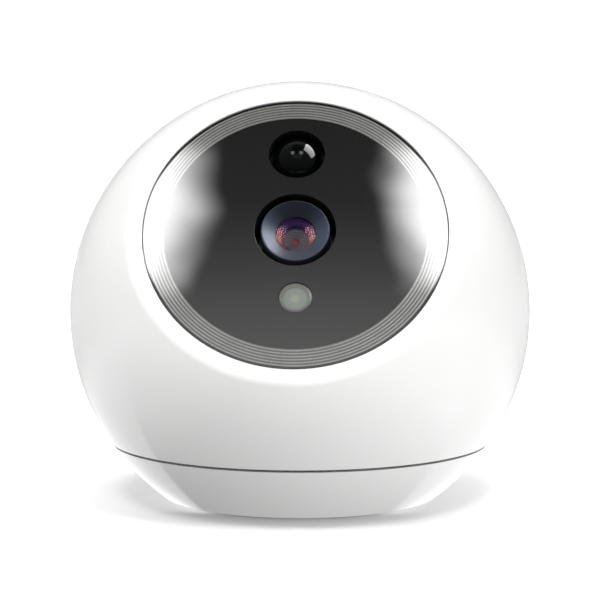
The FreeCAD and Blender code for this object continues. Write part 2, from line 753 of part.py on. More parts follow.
def infrared_board():
    low, high = infrared_board_at
    board = ring(25.0, 9.5, low, high)
    for at in corners(post_spacing):
        board = board.cut(disc(2.45, low, high, at))
    for at in infrared_screw_at:
        board = board.cut(disc(1.1, low, high, at))
    for a in (45, 135, 270):
        x, y = polar(2.54, a)
        board = board.cut(disc(0.3, low, high, (motion_at[0] + x, motion_at[1] + y)))
    return on_face(board)


def infrared_lights():
    """Six infrared lamps that shine through the smoked window."""
    low = infrared_board_at[1]
    made = []
    for angle in infrared_angles:
        x, y = polar(infrared_circle, angle)
        case = block((x - 1.75, x + 1.75), (y - 1.75, y + 1.75), (low, low + 1.3))
        dome = Part.makeSphere(1.5, V(x, y, low + 1.3))
        made.append(join([case, dome.common(disc(1.5, low + 1.3, low + 3, (x, y)))]))
    return on_face(Part.makeCompound(made))


# ---- the lens module ------------------------------------------------------------------------

def lens_hood():
    """The grey funnel round the front glass."""
    rim_width = 0.3
    return on_face(turned((hood_radius, hood_bottom), (hood_radius, hood_rim), (hood_radius - rim_width, hood_rim),
                          (glass_radius, glass_edge), (glass_radius, glass_edge - 0.1),
                          (4.7, glass_edge - 0.1), (4.7, hood_bottom)))


def front_glass():
    """The domed front element, clamped by its shoulder under the hood."""
    edge = glass_edge - 0.12
    apex = edge + glass_rise
    rim = glass_radius - 0.02
    return on_face(turned((0, apex), (crown(rim, edge, apex), (rim, edge)), (4.65, edge), (4.65, 31.4),
                          (3.4, 31.4), (crown(3.4, 31.4, 32.6), (0, 32.6))))


def lens_barrel():
    """The threaded barrel, stepped inside to seat the glasses and the stop."""
    body = turned((3.4, 31.2), (4.7, 31.2), (4.7, hood_bottom), (hood_radius, hood_bottom),
                  (hood_radius, barrel_head_bottom), (thread_radius, barrel_head_bottom), (thread_radius, barrel_bottom),
                  (2.2, barrel_bottom), (2.2, 20.6), (2.9, 20.6), (2.9, 23.2), (1.1, 23.2), (1.1, 24.0),
                  (2.2, 25.2), (3.15, 25.2), (3.15, 28.4), (3.4, 28.4))
    for k in range(7):
        low = barrel_bottom + 0.6 + k
        body = body.cut(ring(thread_radius + 0.1, thread_radius - 0.25, low, low + 0.35))
    return on_face(body)


def inner_glasses():
    """The second element, behind the front one, and the element nearest the sensor."""
    middle = turned((0, 26.0), (crown(3.1, 25.3, 26.0), (3.1, 25.3)), (3.1, 27.4), (crown(3.1, 27.4, 28.35), (0, 28.35)))
    rear = turned((0, 20.4), (crown(2.85, 20.9, 20.4), (2.85, 20.9)), (2.85, 22.3), (crown(2.85, 22.3, 23.0), (0, 23.0)))
    return on_face(Part.makeCompound([middle, rear]))


def lens_mount():
    """The holder that the barrel screws into, with rails for the night filter."""
    low = sensor_board_at[1]
    under, over = filter_at[0] - 0.05, filter_at[1] + 0.05
    case = block((-12.5, 12.5), (-8.5, 8.5), (low, 18.6))
    hollow = block((-11.3, 11.3), (-7.3, 7.3), (low, over))
    mount = case.cut(hollow)
    for side in (-1, 1):
        y = sorted((side * (filter_half + 0.05), side * 7.6))
        ledge = sorted((side * (filter_half - 0.5), side * 7.6))
        mount = mount.fuse(block((-11.6, 11.6), y, (under - 1.0, over + 0.1)))
        mount = mount.fuse(block((-11.6, 11.6), ledge, (under - 1.0, under)))
    mount = join([mount.removeSplitter(), disc(8.0, 18.6, 26.0)])
    return on_face(mount.cut(disc(thread_radius + 0.06, 18.6, 26.1)).cut(disc(4.4, 16, 18.7)))


def filter_frame():
    """The sliding frame that carries the day filter and the clear pane."""
    low, high = filter_at
    frame = block((-9.6, 3.6), (-filter_half, filter_half), (low, high))
    for x in (-6.0, 0.0):
        frame = frame.cut(block((x - 2.5, x + 2.5), (-3.2, 3.2), (low, high)))
    return on_face(frame)


def filter_panes():
    low, high = filter_at
    panes = [block((x - 2.45, x + 2.45), (-3.15, 3.15), (low + 0.25, high - 0.25)) for x in (-6.0, 0.0)]
    return on_face(Part.makeCompound(panes))


def filter_coil():
    """The small coil that throws the filter across."""
    low = sensor_board_at[1]
    core = block((4.6, 10.8), (5.7, 6.9), (low + 0.4, low + 1.1))
    winding = block((5.9, 9.6), (5.3, 7.2), (low + 0.1, low + 1.4))
    return on_face(join([core, winding]))


def sensor_board():
    low, high = sensor_board_at
    half = sensor_board_half
    board = block((-half, half), (-half, half), (low, high))
    for at in corners(post_spacing):
        board = board.cut(disc(1.1, low, high, at))
    plug = block((-5, 5), (-14.5, -10.5), (low - 2.2, low))
    return on_face(Part.makeCompound([board, plug]))


def image_sensor():
    low = sensor_board_at[1]
    chip = block((-4, 4), (-4, 4), (low, low + 0.8))
    glass = block((-3.4, 3.4), (-3.4, 3.4), (low + 0.8, low + 1.2))
    return on_face(join([chip, glass]))


def board_standoffs():
    """Brass pillars between the sensor board and the main board."""
    made = []
    for at in corners(post_spacing):
        body = disc(2.2, main_board_at[1], sensor_board_at[0], at)
        stud = disc(0.97, sensor_board_at[0], 16.5, at)
        made.append(join([body, stud]).cut(disc(1.0, main_board_at[1], 7.0, at)))
    return on_face(Part.makeCompound(made))


def main_board():
    low, high = main_board_at
    x, y = main_board_half
    board = block((-x, x), (-y, y), (low, high))
    clip = 7.0
    for side_x in (-1, 1):
        for side_y in (-1, 1):
            corner = block((-clip, clip), (-clip, clip), (low, high))
            corner.rotate(V(0, 0, 0), V(0, 0, 1), 45)
            corner.translate(V(side_x * x, side_y * y, 0))
            board = board.cut(corner)
    for at in corners(post_spacing):
        board = board.cut(disc(1.1, low, high, at))
    return on_face(board)


def processor():
    high = main_board_at[1]
    return on_face(block((-7, 7), (-6, 8), (high, high + 1.3)))


def heat_sink():
    """A finned plate on the processor."""
    low = main_board_at[1] + 1.3
    sink = block((-7, 7), (-6, 8), (low, low + 1.0))
    fins = [block((-7, 7), (-6 + 2.2 * k, -5.2 + 2.2 * k), (low + 1.0, low + 3.4)) for k in range(7)]
    fins = [f.common(block((-7, 7), (-6, 8), (low, far))) for f in fins]
    return on_face(join([sink] + fins))


def memory_chips():
    high = main_board_at[1]
    spots = ((-24, -16, -6, 5), (-22, -17, 9, 14), (16, 20, -15, -10))
    return on_face(Part.makeCompound([block((a, b), (c, d), (high, high + 1.0)) for a, b, c, d in spots]))


def radio_module():
    """The screened Wi-Fi module."""
    high = main_board_at[1]
    base = block((16, 28), (-4, 11), (high, high + 0.8))
    can = block((16.6, 27.4), (-3.4, 7.4), (high + 0.8, high + 2.4))
    return on_face(join([base, can]))


def radio_aerial():
    """A thin aerial stuck to the inside of the rear shell, near the top."""
    film = ball_shell(inner_radius - 0.05, inner_radius - 0.35)
    return film.common(block((-17, 17), (14, 24), (ball_height + 20, far)))


def board_plugs():
    """The sockets on the back of the main board for the motor, speaker and power leads."""
    low = main_board_at[0]
    spots = ((-3.5, 3.5, -17, -13), (-24, -17, -8, -4), (17, 24, -8, -4))
    made = [block((a, b), (c, d), (low - 3.0, low)) for a, b, c, d in spots]
    return on_face(Part.makeCompound(made))


def head_lead():
    """The globe's share of the power lead, from the pan axis to the main board."""
    socket = face_frame.multVec(V(0, -15, main_board_at[0] - 3.0))
    back = face_frame.multVec(V(0, -15, main_board_at[0] - 7.0))
    return lead([(0, 0, lead_joint + 0.4), (0, 0, back.z - 1.5), tuple(back), tuple(socket)], 0.75, 0.9)


# ---- sound ----------------------------------------------------------------------------------

def speaker_basket():
    """The speaker's steel frame."""
    low, high = speaker_back, speaker_front
    basket = turned((7.2, low), (9.5, low), (13.2, high - 1.0), (speaker_radius, high - 1.0), (speaker_radius, high),
                    (12.2, high), (8.9, low + 0.8), (7.2, low + 0.8))
    return on_speaker(basket)


def speaker_magnet():
    low = speaker_back
    magnet = turned((0, low - 4.5), (7.6, low - 4.5), (8.0, low - 4.1), (8.0, low - 0.05), (0, low - 0.05))
    return on_speaker(magnet)


def speaker_cone():
    """The paper cone, its roll surround and the dust cap in one skin."""
    high = speaker_front
    cone = turned((0, high - 0.9), (crown(4.4, high - 2.3, high - 0.9), (4.4, high - 2.3)), (9.6, high - 1.1),
                  ((10.8, high - 0.3), (12.0, high + 0.02)), (12.0, high + 0.3), ((10.6, high + 0.05), (9.6, high - 0.8)),
                  (4.4, high - 2.0), (crown(4.4, high - 2.0, high - 0.6), (0, high - 0.6)))
    return on_speaker(cone)


def speaker_gasket():
    return on_speaker(ring(speaker_radius, 12.3, speaker_front, speaker_front + 1.2))


def microphone():
    """A capsule microphone behind its pinhole."""
    return on_speaker(join([disc(3.0, 36.6, 39.2, microphone_at), disc(1.8, 39.2, 40.7, microphone_at)]))


# Dimensions that several of the pieces above share
inlet_face = 32.6               # back wall of the niche round the power inlet
button_at = (11.5, 5.2)         # across and up, on the back of the base
button_radius = 1.25
button_back = 25.2
switch_front = 24.2
power_pin_at = ((-11.0, 15.8), (11.0, 15.8))
filter_half = 4.4
insert_radius = 4.0
insert_bore = 2.6               # a quarter-inch, twenty-thread screw cuts to this
hub_screw_circle = 10.0
hub_screw_angles = (210, 330, 45)
wide_bore = 6.7
narrow_bore = 3.5
clip_groove = 7.2
clip_bottom = 17.35
clip_top = 18.35
bush_outer = 9.3
power_board_at = (3.2, 4.2)
lead_joint = 20.5               # height where the turning part of the lead begins
filter_at = (15.2, 16.4)
infrared_screw_at = ((-21.0, -11.5), (21.0, -11.5), (-16.0, 16.0), (16.0, 16.0))
microphone_at = (19.5, 0.0)

PIECES = (
    base_bowl, base_plate, foot_ring, base_screws, hub_screws, tripod_insert, hub_post, pan_gear,
    thrust_washer, hub_clip, power_board, usb_socket, power_parts, reset_switch, power_lead,
    reset_button, pan_pinion, motor_shaft, pan_motor, motor_cap, motor_screws, globe_deck, pan_bush,
    front_shell, rear_shell, shell_screws, window, window_inlays, face_carrier, small_screws,
    motion_sensor_lens, motion_sensor, status_light_lens, status_light, infrared_board,
    infrared_lights, lens_hood, front_glass, lens_barrel, inner_glasses, lens_mount,
    filter_frame, filter_panes, filter_coil, sensor_board, image_sensor, board_standoffs, main_board,
    processor, heat_sink, memory_chips, radio_module, radio_aerial, board_plugs, head_lead,
    speaker_basket, speaker_magnet, speaker_cone, speaker_gasket, microphone)


def main():
    os.makedirs("parts", exist_ok=True)
    for piece in PIECES:
        shape = piece()
        if not shape.isValid():
            print("not valid:", piece.__name__)
        print(f"{piece.__name__:20s} {len(shape.Solids):3d} solids {shape.Volume:10.1f} mm3")
        shape.exportStep(os.path.join("parts", piece.__name__ + ".step"))


main()
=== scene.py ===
import bpy
import json
import math
import numpy as np
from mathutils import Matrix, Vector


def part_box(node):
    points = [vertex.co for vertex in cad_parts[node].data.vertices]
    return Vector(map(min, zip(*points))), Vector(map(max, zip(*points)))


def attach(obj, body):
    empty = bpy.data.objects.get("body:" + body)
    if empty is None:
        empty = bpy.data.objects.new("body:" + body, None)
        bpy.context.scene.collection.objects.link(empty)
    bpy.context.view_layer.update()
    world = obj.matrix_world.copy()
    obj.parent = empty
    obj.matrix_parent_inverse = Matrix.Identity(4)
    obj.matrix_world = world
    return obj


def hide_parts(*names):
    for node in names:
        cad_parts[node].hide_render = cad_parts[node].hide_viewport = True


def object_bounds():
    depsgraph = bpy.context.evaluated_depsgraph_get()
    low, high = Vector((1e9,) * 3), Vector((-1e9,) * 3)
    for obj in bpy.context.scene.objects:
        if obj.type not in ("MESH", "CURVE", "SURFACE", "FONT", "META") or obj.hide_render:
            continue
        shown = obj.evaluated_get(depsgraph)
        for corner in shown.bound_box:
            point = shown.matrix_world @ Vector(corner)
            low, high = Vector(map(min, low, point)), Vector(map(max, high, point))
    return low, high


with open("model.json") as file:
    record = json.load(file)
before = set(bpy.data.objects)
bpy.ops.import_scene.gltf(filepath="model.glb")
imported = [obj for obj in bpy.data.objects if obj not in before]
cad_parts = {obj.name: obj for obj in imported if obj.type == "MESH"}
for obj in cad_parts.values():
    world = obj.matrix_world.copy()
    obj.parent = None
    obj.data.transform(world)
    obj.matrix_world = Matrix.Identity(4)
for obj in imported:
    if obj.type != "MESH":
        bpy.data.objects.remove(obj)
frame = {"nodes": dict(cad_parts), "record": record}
cadLow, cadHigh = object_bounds()
nodes = frame["nodes"]
slots = {m["slot"]: m for m in frame["record"]["materials"]}
slotOf = {s["node"]: s["material_slot"] for s in frame["record"]["subparts"]}
mm = 0.001

# the ball, read back from the shells: its widest half, and where its middle lies
ballRadius = (cadHigh.x - cadLow.x) / 2
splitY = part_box("rear_shell")[0].y
ballCentre = np.array([0.0, 0.0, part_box("rear_shell")[1].z - math.sqrt(ballRadius ** 2 - splitY ** 2)])
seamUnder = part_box("front_shell")[0].z
print("frame loaded: ball", round(ballRadius * 1000, 2), "at", round(ballCentre[2] * 1000, 2))

# the face's own axes: across, up the face, and out of it
faceTilt = math.radians(34.4)
faceAcross = np.array([1.0, 0.0, 0.0])
faceUp = np.array([0.0, math.sin(faceTilt), math.cos(faceTilt)])
faceOut = np.array([0.0, -math.cos(faceTilt), math.sin(faceTilt)])


def onFace(across, up, out):
    # face coordinates in millimetres to the frame in metres: centre + a*across + b*up + c*out
    a, b, c = np.broadcast_arrays(across, up, out)
    return ballCentre + mm * (a[..., None] * faceAcross + b[..., None] * faceUp + c[..., None] * faceOut)


def gridFaces(rows, columns, closeRows=False):
    # quads of a grid of points, whose rows are closed rings; closeRows joins the last to the first
    r = np.arange(rows if closeRows else rows - 1)
    r, c = np.meshgrid(r, np.arange(columns), indexing="ij")
    r2, c2 = (r + 1) % rows, (c + 1) % columns
    return np.stack([r * columns + c, r * columns + c2, r2 * columns + c2, r2 * columns + c], -1).reshape(-1, 4)


def faceOutwards(mesh):
    # the volume is the sum of a . (b x c) / 6 over the triangles; below zero, the faces look inwards
    mesh.calc_loop_triangles()
    corners = np.zeros(len(mesh.loop_triangles) * 3, np.int32)
    mesh.loop_triangles.foreach_get("vertices", corners)
    co = np.zeros(len(mesh.vertices) * 3)
    mesh.vertices.foreach_get("co", co)
    a, b, c = co.reshape(-1, 3)[corners].reshape(-1, 3, 3).transpose(1, 0, 2)
    if (a * np.cross(b, c)).sum() < 0:
        mesh.flip_normals()


def makePiece(name, points, faces, body, material, sharp=35, extraFaces=()):
    mesh = bpy.data.meshes.new(name)
    mesh.from_pydata(points.reshape(-1, 3).tolist(), [], faces.tolist() + list(extraFaces))
    mesh.validate()
    mesh.update()
    faceOutwards(mesh)
    piece = bpy.data.objects.new(name, mesh)
    bpy.context.scene.collection.objects.link(piece)
    mesh.shade_smooth()
    mesh.set_sharp_from_angle(angle=math.radians(sharp))
    mesh.materials.append(material)
    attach(piece, body)
    return piece


def roundCorners(profile, radii, steps=4):
    # each corner of an open or closed outline becomes a short quadratic curve that leaves its two
    # sides at the given distance from the corner
    points = [np.array(p, float) for p in profile]
    out = []
    for i, p in enumerate(points):
        r = radii[i]
        if r == 0:
            out.append(p)
            continue
        a, b = points[i - 1] - p, points[(i + 1) % len(points)] - p
        a, b = p + a / np.linalg.norm(a) * r, p + b / np.linalg.norm(b) * r
        for t in np.linspace(0, 1, steps + 1):
            out.append((1 - t) ** 2 * a + 2 * t * (1 - t) * p + t * t * b)
    return np.array(out)


def spinOnFace(name, profile, at, body, material, steps=96, closed=True, sharp=35):
    # surface of revolution on the face's axis: (r cos b, r sin b, d) for a profile (r, d). A closed
    # profile gives a ring; an open one that starts or ends at r = 0 gets one point at that pole
    p = np.array(profile, float)
    b = np.linspace(0, 2 * math.pi, steps, endpoint=False)
    poleFirst, poleLast = p[0, 0] < 1e-9, p[-1, 0] < 1e-9
    if closed and not poleFirst:
        grid = onFace(at[0] + p[:, :1] * np.cos(b), at[1] + p[:, :1] * np.sin(b), p[:, 1:] + 0 * b)
        faces = gridFaces(len(p), steps, closeRows=True)
        return makePiece(name, grid, faces, body, material, sharp)
    ring = p[(1 if poleFirst else 0):(len(p) - 1 if poleLast else len(p))]
    grid = onFace(at[0] + ring[:, :1] * np.cos(b), at[1] + ring[:, :1] * np.sin(b), ring[:, 1:] + 0 * b)
    faces = gridFaces(len(ring), steps)
    points = grid.reshape(-1, 3)
    extra = []
    k = np.arange(steps)
    if poleFirst:
        points = np.vstack([points, onFace(np.array(at[0] * 1.0), np.array(at[1] * 1.0), p[0, 1])[None]])
        top = len(points) - 1
        extra += np.stack([np.full(steps, top), (k + 1) % steps, k], -1).tolist()
    if poleLast:
        points = np.vstack([points, onFace(np.array(at[0] * 1.0), np.array(at[1] * 1.0), p[-1, 1])[None]])
        top = len(points) - 1
        last = (len(ring) - 1) * steps
        extra += np.stack([np.full(steps, top), last + k, last + (k + 1) % steps], -1).tolist()
    return makePiece(name, points, faces, body, material, sharp, extra)


# finishes
def newMaterial(name):
    material = bpy.data.materials.new(name)
    material.use_nodes = True
    tree = material.node_tree
    shader = tree.nodes["Principled BSDF"]
    return material, tree, shader


def addNode(tree, kind, **values):
    node = tree.nodes.new(kind)
    for key, value in values.items():
        if hasattr(node, key):
            setattr(node, key, value)
        else:
            node.inputs[key].default_value = value
    return node


def noiseField(tree, scale, detail=3.0, stretch=None):
    # cloudy noise on the object's own coordinates, in lumps per metre
    coords = addNode(tree, "ShaderNodeTexCoord")
    noise = addNode(tree, "ShaderNodeTexNoise")
    noise.inputs["Scale"].default_value = scale
    noise.inputs["Detail"].default_value = detail
    source = coords.outputs["Object"]
    if stretch is not None:
        mapping = addNode(tree, "ShaderNodeMapping")
        mapping.inputs["Scale"].default_value = stretch
        tree.links.new(source, mapping.inputs["Vector"])
        source = mapping.outputs["Vector"]
    tree.links.new(source, noise.inputs["Vector"])
    return noise.outputs["Fac"]


def tintBetween(tree, factor, low, high, target):
    ramp = addNode(tree, "ShaderNodeValToRGB")
    ramp.color_ramp.elements[0].position = 0.3
    ramp.color_ramp.elements[1].position = 0.7
    ramp.color_ramp.elements[0].color = (*low, 1)
    ramp.color_ramp.elements[1].color = (*high, 1)
    tree.links.new(factor, ramp.inputs["Fac"])
    tree.links.new(ramp.outputs["Color"], target)


def rangeTo(tree, factor, low, high, target):
    spread = addNode(tree, "ShaderNodeMapRange")
    spread.inputs["From Min"].default_value = 0.3
    spread.inputs["From Max"].default_value = 0.7
    spread.inputs["To Min"].default_value = low
    spread.inputs["To Max"].default_value = high
    tree.links.new(factor, spread.inputs["Value"])
    tree.links.new(spread.outputs["Result"], target)


def bumpFrom(tree, factor, shader, strength, distance):
    bump = addNode(tree, "ShaderNodeBump")
    bump.inputs["Strength"].default_value = strength
    bump.inputs["Distance"].default_value = distance
    tree.links.new(factor, bump.inputs["Height"])
    tree.links.new(bump.outputs["Normal"], shader.inputs["Normal"])


def mouldedFinish(name, colour, rough, vary, grain, grainDepth, metal=0.0, clear=0.0, ior=1.5, stretch=None):
    # a moulding or a metal: slow drift of tone, fine grain in the bump, and uneven gloss
    material, tree, shader = newMaterial(name)
    slow = noiseField(tree, 150, 2.0)
    fine = noiseField(tree, grain, 4.0, stretch)
    low = tuple(c * (1 - vary) for c in colour)
    high = tuple(min(1.0, c * (1 + vary)) for c in colour)
    tintBetween(tree, slow, low, high, shader.inputs["Base Color"])
    rangeTo(tree, fine, rough[0], rough[1], shader.inputs["Roughness"])
    bumpFrom(tree, fine, shader, grainDepth, 0.00005)
    shader.inputs["Metallic"].default_value = metal
    shader.inputs["IOR"].default_value = ior
    shader.inputs["Transmission Weight"].default_value = clear
    return material


def boardFinish(name, mask, copper):
    # solder mask over copper: square tracks show as slightly raised, paler lines
    material, tree, shader = newMaterial(name)
    coords = addNode(tree, "ShaderNodeTexCoord")
    tracks = addNode(tree, "ShaderNodeTexBrick")
    tracks.inputs["Scale"].default_value = 260
    tracks.inputs["Mortar Size"].default_value = 0.03
    tracks.inputs["Color1"].default_value = (*mask, 1)
    tracks.inputs["Color2"].default_value = (*[c * 0.8 for c in mask], 1)
    tracks.inputs["Mortar"].default_value = (*copper, 1)
    tree.links.new(coords.outputs["Object"], tracks.inputs["Vector"])
    tree.links.new(tracks.outputs["Color"], shader.inputs["Base Color"])
    bumpFrom(tree, tracks.outputs["Fac"], shader, 0.2, 0.00003)
    rangeTo(tree, noiseField(tree, 500), 0.22, 0.32, shader.inputs["Roughness"])
    return material


# what sets each class of finish apart; a slot's own colour comes from the record
classFinish = {
    "gloss_plastic": dict(rough=(0.12, 0.16), vary=0.02, grain=2500, grainDepth=0.01),
    "matte_plastic": dict(rough=(0.45, 0.6), vary=0.05, grain=5000, grainDepth=0.25),
    "rubber": dict(rough=(0.65, 0.8), vary=0.08, grain=4000, grainDepth=0.3),
    "brushed_steel": dict(
        rough=(0.22, 0.38), vary=0.05, grain=900, grainDepth=0.05, metal=1.0, stretch=(1, 1, 12)),
    "painted_metal": dict(rough=(0.35, 0.45), vary=0.04, grain=3500, grainDepth=0.1),
    "aluminium": dict(
        rough=(0.3, 0.4), vary=0.04, grain=1500, grainDepth=0.08, metal=1.0, stretch=(8, 1, 1)),
    "brass": dict(rough=(0.22, 0.34), vary=0.05, grain=1200, grainDepth=0.05, metal=1.0),
    "glass": dict(rough=(0.02, 0.05), vary=0.03, grain=1500, grainDepth=0.0, clear=0.9, ior=1.49),
}
slotColour = {   # slots whose shown colour differs from the record's plain one
    "coil_copper": (0.72, 0.36, 0.2),
}
materials = {}
for slotName, entry in slots.items():
    colour = slotColour.get(slotName, tuple(entry["base_color"][:3]))
    if slotName in ("board_green", "board_black"):
        materials[slotName] = boardFinish(slotName, colour, tuple(min(1, c * 1.6 + 0.03) for c in colour))
    else:
        materials[slotName] = mouldedFinish(slotName, colour, **classFinish[entry["class"]])
for nodeName, obj in nodes.items():
    obj.data.materials.clear()
    obj.data.materials.append(materials[slotOf[nodeName]])
print("carried nodes finished:", len(nodes))

# white shells
shellLook = {
    "tone": (0.80, 0.80, 0.795),
    "wall": 2.4, "landPlane": 34.5, "landBlend": 2.0, "openingRadius": 30.87, "seatPlane": 32.4,
    "seatInner": 28.5, "collar": 30.5, "edge": 0.25, "openingEdge": 0.1, "columns": 360, "rows": 90,
}


def whiteShellFinish():
    # high-gloss white moulding: hardly any grain, a faint drift of tone, and a long, shallow ripple
    material, tree, shader = newMaterial("whiteShell")
    slow = noiseField(tree, 25, 1.0)
    tone = shellLook["tone"]
    tintBetween(tree, slow, tuple(c * 0.985 for c in tone), tone, shader.inputs["Base Color"])
    rangeTo(tree, noiseField(tree, 900, 3.0), 0.07, 0.11, shader.inputs["Roughness"])
    bumpFrom(tree, noiseField(tree, 60, 1.0), shader, 0.03, 0.0002)
    shader.inputs["IOR"].default_value = 1.5
    return material


whiteShell = whiteShellFinish()
for nodeName in ("base_bowl", "rear_shell", "front_shell"):
    nodes[nodeName].data.materials[0] = whiteShell


def frontShellSurface():
    # rings of points about the face's axis. Row by row the outline goes up the opening's wall, over
    # the flat land, round the blend, down the ball to where it meets the seam plane or the split
    # plane, then back up the inside. A point on a ball is rho*(cos a * out + sin a * m(b)), where
    # m(b) = cos b * across + sin b * up, and a plane p cos a + q sin a = level is met at
    # a = atan2(q, p) + acos(level / hypot(p, q))
    s = shellLook
    outer = ballRadius / mm
    inner = outer - s["wall"]
    b = np.linspace(0, 2 * math.pi, s["columns"], endpoint=False)
    m = np.cos(b)[:, None] * faceAcross + np.sin(b)[:, None] * faceUp

    def lastAngle(rho):
        ends = []
        for axis, sign, limit in ((2, 1, (seamUnder - ballCentre[2]) / mm), (1, -1, splitY / mm)):
            p, q, level = sign * faceOut[axis], sign * m[:, axis], sign * limit / rho
            ends.append(np.arctan2(q, p) + np.arccos(np.clip(level / np.hypot(p, q), -1, 1)))
        return np.minimum(*ends)

    def ballPoints(rho, a):
        return rho * (np.cos(a)[..., None] * faceOut + np.sin(a)[..., None] * m)

    def flat(r, d):
        return np.broadcast_to(r * m + d * faceOut, (1, len(b), 3))

    rows = []
    edge, opening, land, blend = s["edge"], s["openingRadius"], s["landPlane"], s["landBlend"]
    lip = roundCorners([(opening, s["seatPlane"]), (opening, land), (opening + 2, land)], [0, s["openingEdge"], 0])
    for r, d in lip[:-1]:
        rows.append(flat(r, d))
    # the land meets the ball through an arc of radius blend, with its centre at (blendAt, blendDeep)
    blendDeep = land - blend
    blendAt = math.sqrt((outer - blend) ** 2 - blendDeep ** 2)
    lean = math.atan2(blendDeep, blendAt)
    for r in np.linspace(opening + 0.6, blendAt, 5)[:-1]:
        rows.append(flat(r, land))
    for w in np.linspace(math.pi / 2, lean, 12):
        rows.append(flat(blendAt + blend * math.cos(w), blendDeep + blend * math.sin(w)))
    start = math.pi / 2 - lean
    end = lastAngle(outer)
    t = np.linspace(0, 1, s["rows"])[1:, None]
    stop = end - edge / outer
    rows.append(ballPoints(outer, start + (stop - start) * t))
    corner = ballPoints(outer, end)
    innerEnd = ballPoints(inner, lastAngle(inner))
    inward = innerEnd - corner
    inward = corner + inward / np.linalg.norm(inward, axis=1, keepdims=True) * edge
    before = ballPoints(outer, stop)
    for t in (0.25, 0.5, 0.75, 1.0):
        rows.append(((1 - t) ** 2 * before + 2 * t * (1 - t) * corner + t * t * inward)[None])
    rows.append(innerEnd[None])
    innerStop, back = lastAngle(inner), math.acos(s["collar"] / inner)
    t = np.linspace(0, 1, 24)[1:, None]
    rows.append(ballPoints(inner, innerStop + (back - innerStop) * t))
    rows.append(flat(s["seatInner"], s["collar"]))
    rows.append(flat(s["seatInner"], s["seatPlane"]))
    grid = np.concatenate(rows, 0) * mm + ballCentre
    return grid, gridFaces(grid.shape[0], grid.shape[1], closeRows=True)


points, faces = frontShellSurface()
frontShell = makePiece("frontShell", points, faces, "globe", whiteShell, 40)
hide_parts("front_shell")
print("front shell made")

# window
windowLook = {
    "radius": 30.75, "edge": 34.2, "curve": 393.0, "back": 32.6, "lensHole": 8.2,
    "motionHole": 5.75, "motionAt": (0.0, 17.8), "lightHole": 3.35, "lightAt": (0.3, -15.3),
    "lineCount": 6, "lineOuter": 30.0, "linePitch": 0.64, "lineWidth": 0.3,
    "bandInner": 26.45, "bandOuter": 30.2, "chamfer": 0.06, "cutFrom": 30, "cutTo": 38,
    "lineProud": 0.006, "lineDeep": 0.15,
}


def windowHeight(r):
    # the front is a shallow ball cap: apex - (curve - sqrt(curve^2 - r^2))
    w = windowLook
    apex = w["edge"] + w["curve"] - math.sqrt(w["curve"] ** 2 - w["radius"] ** 2)
    return apex - (w["curve"] - np.sqrt(w["curve"] ** 2 - np.asarray(r, float) ** 2))


def smokedFinish(name, colour, rough):
    material, tree, shader = newMaterial(name)
    slow = noiseField(tree, 40, 2.0)
    tintBetween(tree, slow, tuple(c * 0.9 for c in colour), colour, shader.inputs["Base Color"])
    rangeTo(tree, noiseField(tree, 1200, 3.0), rough * 0.8, rough * 1.2, shader.inputs["Roughness"])
    bumpFrom(tree, noiseField(tree, 35, 1.0), shader, 0.02, 0.0002)
    shader.inputs["IOR"].default_value = 1.5
    return material


smokedGloss = smokedFinish("smokedGloss", (0.006, 0.0052, 0.005), 0.03)
bandGloss = smokedFinish("bandGloss", (0.062, 0.061, 0.057), 0.03)


def darkFinish(name, colour, rough, level):
    material, tree, shader = newMaterial(name)
    faint = tuple(c * 0.7 for c in colour)
    tintBetween(tree, noiseField(tree, 300, 2.0), faint, colour, shader.inputs["Base Color"])
    rangeTo(tree, noiseField(tree, 4000, 3.0), rough[0], rough[1], shader.inputs["Roughness"])
    bumpFrom(tree, noiseField(tree, 3000, 2.0), shader, 0.03, 0.00003)
    shader.inputs["Specular IOR Level"].default_value = level
    return material


holeWall = darkFinish("holeWall", (0.006, 0.0058, 0.006), (0.4, 0.5), 0.1)


def cutHoles(piece, holes, low, high):
    # round holes on the face's axis, cut with an exact boolean and then made plain mesh
    for radius, at in holes:
        k = np.linspace(0, 2 * math.pi, 96, endpoint=False)
        rings = [onFace(at[0] + radius * np.cos(k), at[1] + radius * np.sin(k), d) for d in (low, high)]
        mesh = bpy.data.meshes.new("cutter")
        n = len(k)
        sides = gridFaces(2, n).tolist()
        mesh.from_pydata(np.concatenate(rings).tolist(), [], sides + [list(range(n))[::-1], list(range(n, 2 * n))])
        cutter = bpy.data.objects.new("cutter", mesh)
        bpy.context.scene.collection.objects.link(cutter)
        cut = piece.modifiers.new("cut", "BOOLEAN")
        cut.operation = "DIFFERENCE"
        cut.solver = "EXACT"
        cut.object = cutter
        bpy.context.view_layer.update()
        solid = bpy.data.meshes.new_from_object(piece.evaluated_get(bpy.context.evaluated_depsgraph_get()))
        piece.modifiers.clear()
        piece.data = solid
        bpy.data.objects.remove(cutter)


